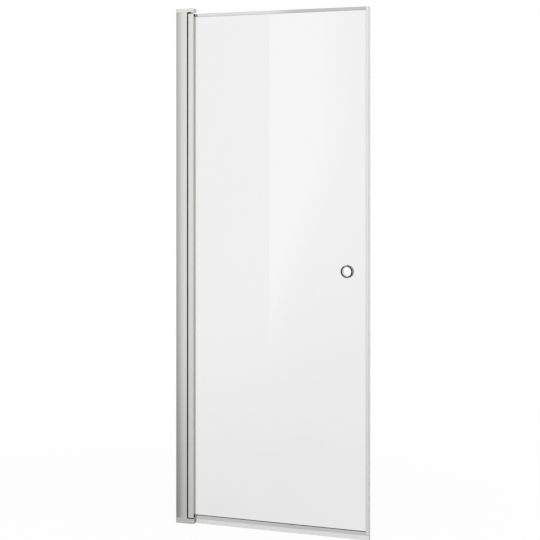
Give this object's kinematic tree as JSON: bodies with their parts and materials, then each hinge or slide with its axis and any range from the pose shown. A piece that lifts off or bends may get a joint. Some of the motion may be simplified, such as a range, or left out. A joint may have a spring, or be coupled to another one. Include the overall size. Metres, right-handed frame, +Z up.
{
  "type": "pivot shower door",
  "caption": "Framed glass shower door on a wall post, turning outward on top and bottom pivot pins, with a through ring pull, magnetic closing edge and drip sweep.",
  "frame": {"origin": "on the wall's surface, at the middle of the wall channel's depth, at the height of the bottom bracket's underside", "axes": "+X runs from the wall to the closing edge, -Y points out of the shower toward the room, +Z is up"},
  "size_m": [0.7828, 0.0376, 2],
  "materials": {
    "satin_silver": "satin silver anodised extrusion with faint lines along its length",
    "cast_silver": "die-cast body with satin silver lacquer",
    "chrome": "polished chrome plate",
    "stainless": "turned stainless steel",
    "clear_glass": "clear toughened sheet, polished faces",
    "black_rubber": "matt black extruded rubber",
    "black_nylon": "moulded black nylon",
    "silver_plastic": "moulded plastic coloured to match the profiles",
    "grey_gasket": "soft grey glazing gasket",
    "frosted_pvc": "milky translucent soft PVC",
    "clear_plastic": "clear hard plastic",
    "magnet": "dark flexible magnet"
  },
  "bodies": {
    "frame": {"wall_channel": "satin_silver", "post_profile": "satin_silver", "post_seal": "black_rubber", "post_clamp_screws": "stainless", "screw_caps": "silver_plastic", "top_bracket": "cast_silver", "bottom_bracket": "cast_silver", "top_bracket_screws": "stainless", "bottom_bracket_screws": "stainless", "top_pivot_pin": "stainless", "bottom_pivot_pin": "stainless", "pin_set_screws": "stainless", "thrust_washer": "black_nylon"},
    "leaf": {"stile_profile": "satin_silver", "top_bush_plug": "black_nylon", "bottom_bush_plug": "black_nylon", "stile_gasket": "grey_gasket", "glass_panel": "clear_glass", "top_trim": "satin_silver", "top_trim_gasket": "grey_gasket", "bottom_rail": "satin_silver", "rail_gasket": "black_rubber", "bottom_sweep": "frosted_pvc", "closing_profile": "satin_silver", "closing_gasket": "grey_gasket", "closing_end_caps": "silver_plastic", "magnet_sleeve": "frosted_pvc", "magnet_bar": "magnet", "handle_ring_front": "chrome", "handle_ring_back": "chrome", "handle_bush": "clear_plastic", "handle_washers": "clear_plastic"}
  },
  "joints": [
    {"name": "door_pivot", "type": "hinge", "parent": "frame", "child": "leaf", "pos_m": [0.06335, -0.00465, 0.022], "axis": [0, 0, -1], "range_deg": [0, 95]}
  ]
}
